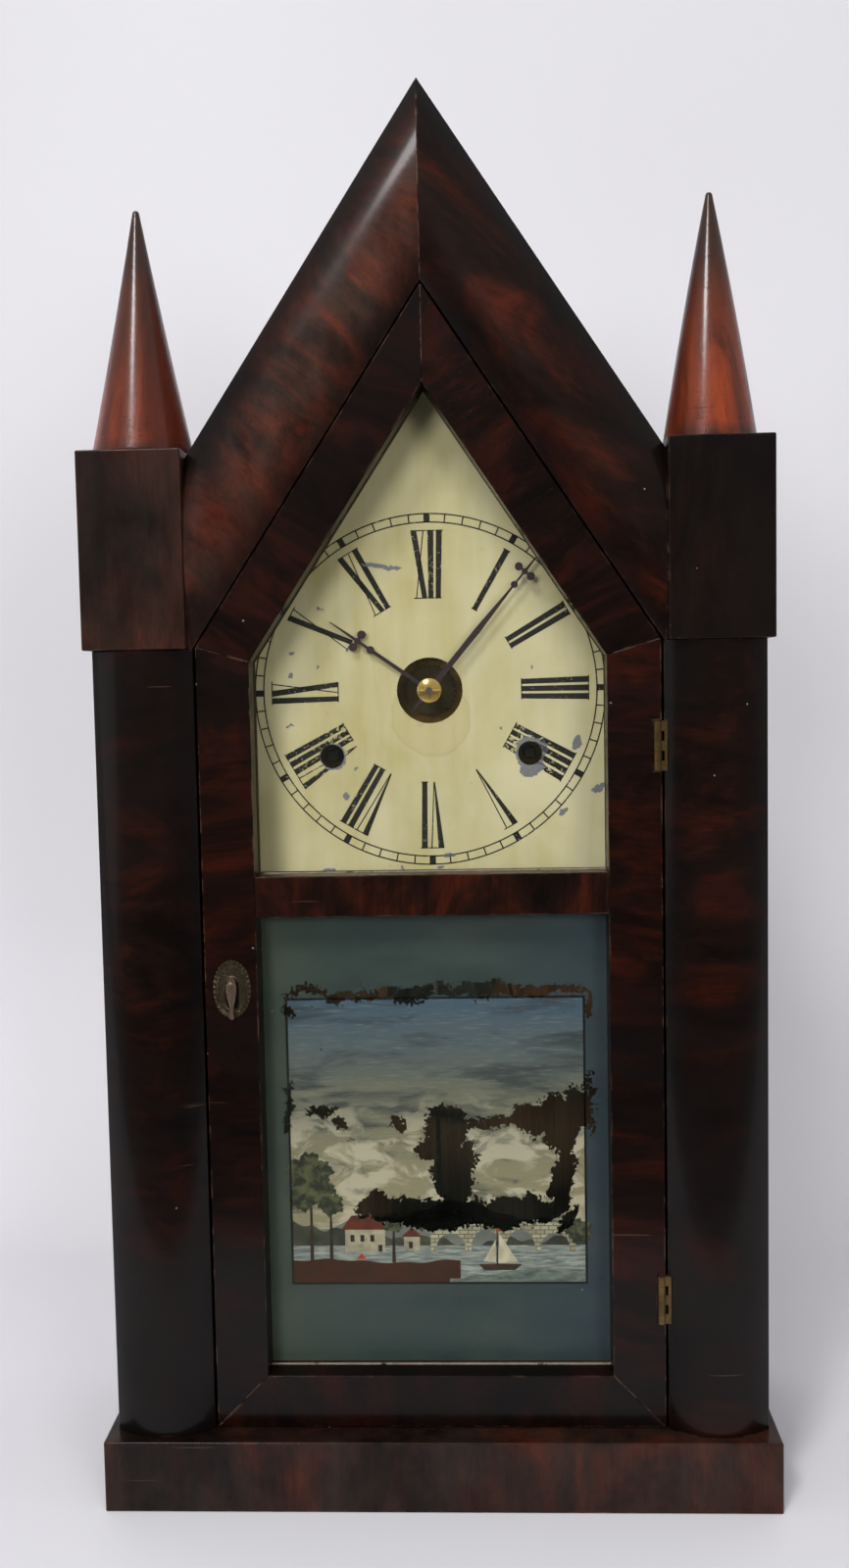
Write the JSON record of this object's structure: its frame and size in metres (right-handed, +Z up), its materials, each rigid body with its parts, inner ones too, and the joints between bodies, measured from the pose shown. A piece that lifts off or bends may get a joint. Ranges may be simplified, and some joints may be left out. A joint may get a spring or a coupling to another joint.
{
  "type": "steeple clock",
  "caption": "Steep-gabled wooden shelf clock with pointed corner finials, a glazed door with a painted lower pane, an enamelled dial, and a spring-driven striking movement with a pendulum.",
  "frame": {"origin": "middle of the base's underside", "axes": "+X to the right of the dial, +Y from the front to the back, +Z up"},
  "size_m": [0.246, 0.105, 0.508],
  "materials": {
    "mahogany": "dark red-brown veneer, polished",
    "finial_wood": "turned, stained and varnished",
    "pine": "bare aged softwood",
    "dial_paint": "aged cream paint on zinc",
    "clear_glass": "old clear glass",
    "painted_glass": "glass painted on its back",
    "brass": "aged brass",
    "steel": "plain steel",
    "blued_steel": "dark blued steel",
    "iron": "black japanned"
  },
  "bodies": {
    "case": {"base": "mahogany", "left_column": "mahogany", "right_column": "mahogany", "left_block": "mahogany", "right_block": "mahogany", "left_finial": "finial_wood", "right_finial": "finial_wood", "left_gable_moulding": "mahogany", "right_gable_moulding": "mahogany", "left_roof_board": "mahogany", "right_roof_board": "mahogany", "left_side_board": "mahogany", "right_side_board": "mahogany", "back_board": "pine", "dial_rails": "pine", "dial": "dial_paint", "dial_tacks": "steel", "hinge_case_leaves": "brass", "front_plate": "brass", "back_plate": "brass", "pillar_nuts": "brass", "movement_rails": "pine", "movement_screws": "steel", "mainsprings": "steel", "gong": "steel", "gong_stand": "iron"},
    "door": {"left_stile": "mahogany", "right_stile": "mahogany", "left_rafter": "mahogany", "right_rafter": "mahogany", "mid_rail": "mahogany", "bottom_rail": "mahogany", "upper_glass": "clear_glass", "tablet": "painted_glass", "glazing_beads": "pine", "hinge_door_leaves": "brass", "escutcheon": "brass"},
    "latch": {"latch_lever": "brass"},
    "minute": {"minute_arbor": "steel", "minute_hand": "blued_steel", "hand_washer": "brass"},
    "motion": {"motion_wheel": "brass"},
    "hour": {"hour_wheel": "brass", "hour_hand": "blued_steel"},
    "going_third": {"going_third_wheel": "brass"},
    "going_second": {"going_second_wheel": "brass"},
    "going_great": {"going_great_wheel": "brass"},
    "centre_drive": {"centre_wheel": "brass"},
    "escape": {"escape_wheel": "brass"},
    "going_winding": {"going_winding_arbor": "steel"},
    "striking_third": {"striking_third_wheel": "brass"},
    "striking_second": {"striking_pin_wheel": "brass"},
    "striking_great": {"striking_great_wheel": "brass"},
    "fly": {"fly": "brass"},
    "striking_winding": {"striking_winding_arbor": "steel"},
    "pendulum": {"pendulum_rod": "steel", "pendulum_bob": "brass", "rating_nut": "brass"},
    "verge": {"verge": "steel"},
    "hammer": {"strike_hammer": "steel"}
  },
  "joints": [
    {"name": "door_swing", "type": "hinge", "parent": "case", "child": "door", "pos_m": [0.081, -0.0432, 0.17], "axis": [0, 0, 1], "range_deg": [0, 110]},
    {"name": "latch_turn", "type": "hinge", "parent": "door", "child": "latch", "pos_m": [-0.0727, 0, 0.1935], "axis": [0, 1, 0], "range_deg": [-90, 0]},
    {"name": "minute_turn", "type": "hinge", "parent": "case", "child": "minute", "pos_m": [0, 0, 0.2973], "axis": [0, 1, 0], "continuous": true},
    {"name": "motion_turn", "type": "hinge", "parent": "case", "child": "motion", "pos_m": [0.006, 0, 0.30769], "axis": [0, 1, 0], "continuous": true},
    {"name": "hour_turn", "type": "hinge", "parent": "case", "child": "hour", "pos_m": [0, 0, 0.2973], "axis": [0, 1, 0], "continuous": true},
    {"name": "third_turn", "type": "hinge", "parent": "case", "child": "going_third", "pos_m": [0.00441, 0, 0.25569], "axis": [0, 1, 0], "continuous": true},
    {"name": "second_turn", "type": "hinge", "parent": "case", "child": "going_second", "pos_m": [0.01061, 0, 0.27478], "axis": [0, 1, 0], "continuous": true},
    {"name": "great_turn", "type": "hinge", "parent": "case", "child": "going_great", "pos_m": [0.037, 0, 0.2733], "axis": [0, 1, 0], "continuous": true},
    {"name": "centre_turn", "type": "hinge", "parent": "case", "child": "centre_drive", "pos_m": [0, 0, 0.2973], "axis": [0, 1, 0], "continuous": true},
    {"name": "escape_turn", "type": "hinge", "parent": "case", "child": "escape", "pos_m": [-0.00936, 0, 0.25504], "axis": [0, 1, 0], "continuous": true},
    {"name": "going_winding", "type": "hinge", "parent": "case", "child": "going_winding", "pos_m": [0.037, 0, 0.2733], "axis": [0, 1, 0], "continuous": true},
    {"name": "strike_third_turn", "type": "hinge", "parent": "case", "child": "striking_third", "pos_m": [-0.01607, 0, 0.31385], "axis": [0, 1, 0], "continuous": true},
    {"name": "pin_wheel_turn", "type": "hinge", "parent": "case", "child": "striking_second", "pos_m": [-0.02896, 0, 0.29848], "axis": [0, 1, 0], "continuous": true},
    {"name": "strike_great_turn", "type": "hinge", "parent": "case", "child": "striking_great", "pos_m": [-0.037, 0, 0.2733], "axis": [0, 1, 0], "continuous": true},
    {"name": "fly_turn", "type": "hinge", "parent": "case", "child": "fly", "pos_m": [-0.00312, 0, 0.31856], "axis": [0, 1, 0], "continuous": true},
    {"name": "striking_winding", "type": "hinge", "parent": "case", "child": "striking_winding", "pos_m": [-0.037, 0, 0.2733], "axis": [0, 1, 0], "continuous": true},
    {"name": "pendulum_swing", "type": "hinge", "parent": "case", "child": "pendulum", "pos_m": [0, 0, 0.27311], "axis": [0, 1, 0], "range_deg": [-4, 4]},
    {"name": "verge_rock", "type": "hinge", "parent": "case", "child": "verge", "pos_m": [0, 0, 0.27311], "axis": [0, 1, 0], "range_deg": [-4, 4]},
    {"name": "hammer_lift", "type": "hinge", "parent": "case", "child": "hammer", "pos_m": [-0.02, 0, 0.2473], "axis": [0, 1, 0], "range_deg": [-1, 14]}
  ],
  "couplings": [
    {"joint": "motion_turn", "follows": "minute_turn", "ratio": -0.33333},
    {"joint": "hour_turn", "follows": "minute_turn", "ratio": 0.083333},
    {"joint": "second_turn", "follows": "third_turn", "ratio": -0.1},
    {"joint": "great_turn", "follows": "third_turn", "ratio": 0.016667},
    {"joint": "centre_turn", "follows": "third_turn", "ratio": 0.083333},
    {"joint": "escape_turn", "follows": "third_turn", "ratio": -8},
    {"joint": "pin_wheel_turn", "follows": "strike_third_turn", "ratio": -0.1},
    {"joint": "strike_great_turn", "follows": "strike_third_turn", "ratio": 0.016667},
    {"joint": "fly_turn", "follows": "strike_third_turn", "ratio": -8},
    {"joint": "verge_rock", "follows": "pendulum_swing", "ratio": 1}
  ]
}
